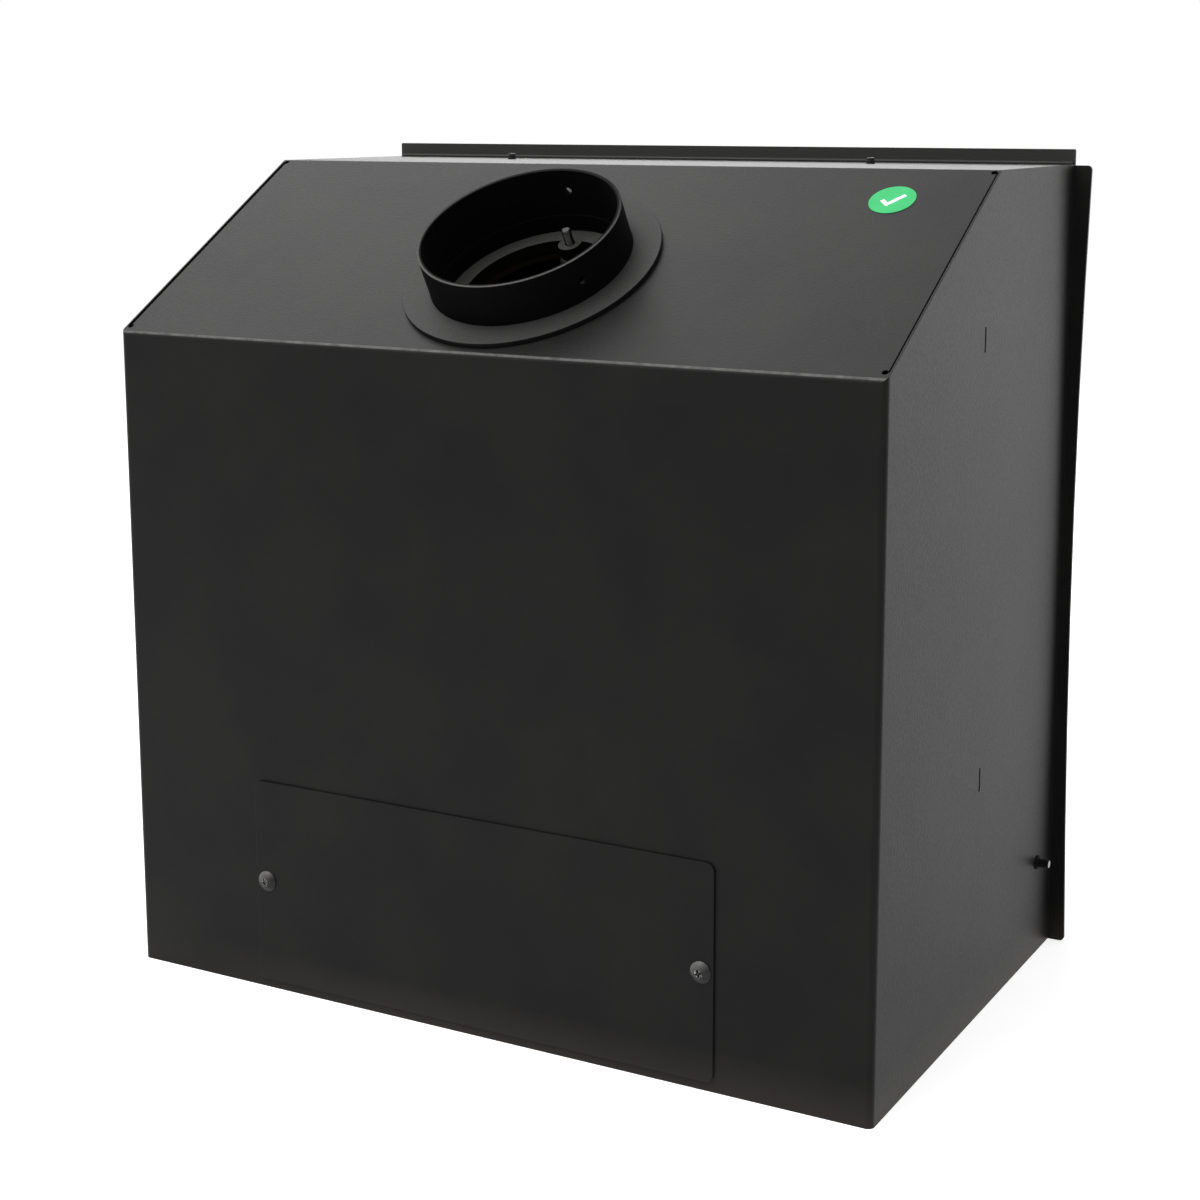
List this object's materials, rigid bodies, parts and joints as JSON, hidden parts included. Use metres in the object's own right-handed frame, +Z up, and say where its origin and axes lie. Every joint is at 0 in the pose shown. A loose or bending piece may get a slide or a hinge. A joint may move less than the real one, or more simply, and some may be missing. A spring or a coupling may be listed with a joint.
{
  "type": "inset multi-fuel stove",
  "caption": "Inset multi-fuel stove: folded steel convection casing with sloping top and flue collar, glazed hinged door, ash drawer, air slides and riddling grate.",
  "frame": {"origin": "On the underside of the base, on the middle line of the width, in the plane where the casing's lips meet the fireplace face", "axes": "+Z up, -Y out of the front of the stove, +X to the right for someone facing the door"},
  "size_m": [0.5338, 0.381, 0.5245],
  "materials": {
    "casing_paint": "matt black high-temperature paint",
    "firebox_paint": "matt black high-temperature paint",
    "cast_iron": "matt black stove paint on cast iron",
    "bolt_steel": "plain zinc-plated steel",
    "dark_screw": "blackened steel",
    "polished_steel": "satin stainless steel",
    "fire_brick": "fired vermiculite board",
    "stove_glass": "clear ceramic glass",
    "seal_rope": "black glass-fibre rope",
    "grip_wood": "oiled beech",
    "green_label": "printed green label"
  },
  "bodies": {
    "stove_body": {"outer_casing": "casing_paint", "base_plate": "casing_paint", "rear_access_cover": "casing_paint", "flue_ring": "casing_paint", "flue_collar": "casing_paint", "face_plate": "casing_paint", "primary_air_rails": "casing_paint", "airwash_rails": "casing_paint", "hinge_blocks": "casing_paint", "latch_catch": "casing_paint", "firebox_shell": "firebox_paint", "firebox_bearers": "firebox_paint", "firebox_stays": "firebox_paint", "rear_air_duct": "firebox_paint", "airwash_box": "firebox_paint", "ash_runners": "firebox_paint", "riddling_rails": "firebox_paint", "firebox_floor": "cast_iron", "grate": "cast_iron", "log_guard": "cast_iron", "log_guard_brackets": "cast_iron", "casing_bolts": "bolt_steel", "casing_bolt_washers": "bolt_steel", "flue_collar_bolts": "bolt_steel", "hinge_pins": "bolt_steel", "rear_cover_screws": "dark_screw", "hinge_block_screws": "dark_screw", "riddling_guide": "polished_steel", "side_brick_left": "fire_brick", "side_brick_right": "fire_brick", "rear_brick": "fire_brick", "baffle_plate": "fire_brick", "flue_gasket": "seal_rope", "inspection_label": "green_label"},
    "door": {"door_frame": "cast_iron", "door_glass": "stove_glass", "glass_gasket": "seal_rope", "glass_strips": "bolt_steel", "glass_strip_screws": "bolt_steel", "door_seal": "seal_rope", "hinge_knuckles": "casing_paint"},
    "handle": {"handle_spindle": "bolt_steel", "handle_lever": "polished_steel", "handle_grip": "grip_wood", "handle_cam": "bolt_steel"},
    "ash_drawer": {"ash_pan": "firebox_paint", "ash_drawer_front": "casing_paint", "ash_drawer_seal": "seal_rope", "ash_drawer_knob": "polished_steel"},
    "primary_air": {"primary_air_slide": "polished_steel", "primary_air_knob": "polished_steel"},
    "airwash": {"airwash_slide": "polished_steel", "airwash_knob": "polished_steel"},
    "riddle": {"riddling_plate": "cast_iron", "riddling_arm": "cast_iron", "riddling_rod": "bolt_steel", "riddling_knob": "polished_steel"}
  },
  "joints": [
    {"name": "door_hinge", "type": "hinge", "parent": "stove_body", "child": "door", "pos_m": [-0.226, -0.0165, 0.28], "axis": [0, 0, -1], "range_deg": [0, 105]},
    {"name": "handle_turn", "type": "hinge", "parent": "door", "child": "handle", "pos_m": [0.218, -0.03, 0.279], "axis": [0, 1, 0], "range_deg": [0, 90]},
    {"name": "ash_drawer_slide", "type": "slide", "parent": "stove_body", "child": "ash_drawer", "axis": [0, -1, 0], "range_m": [0, 0.225]},
    {"name": "primary_air_slide", "type": "slide", "parent": "stove_body", "child": "primary_air", "axis": [-1, 0, 0], "range_m": [0, 0.036]},
    {"name": "airwash_slide", "type": "slide", "parent": "stove_body", "child": "airwash", "axis": [1, 0, 0], "range_m": [0, 0.015]},
    {"name": "riddling_pull", "type": "slide", "parent": "stove_body", "child": "riddle", "axis": [0, -1, 0], "range_m": [0, 0.025]}
  ]
}
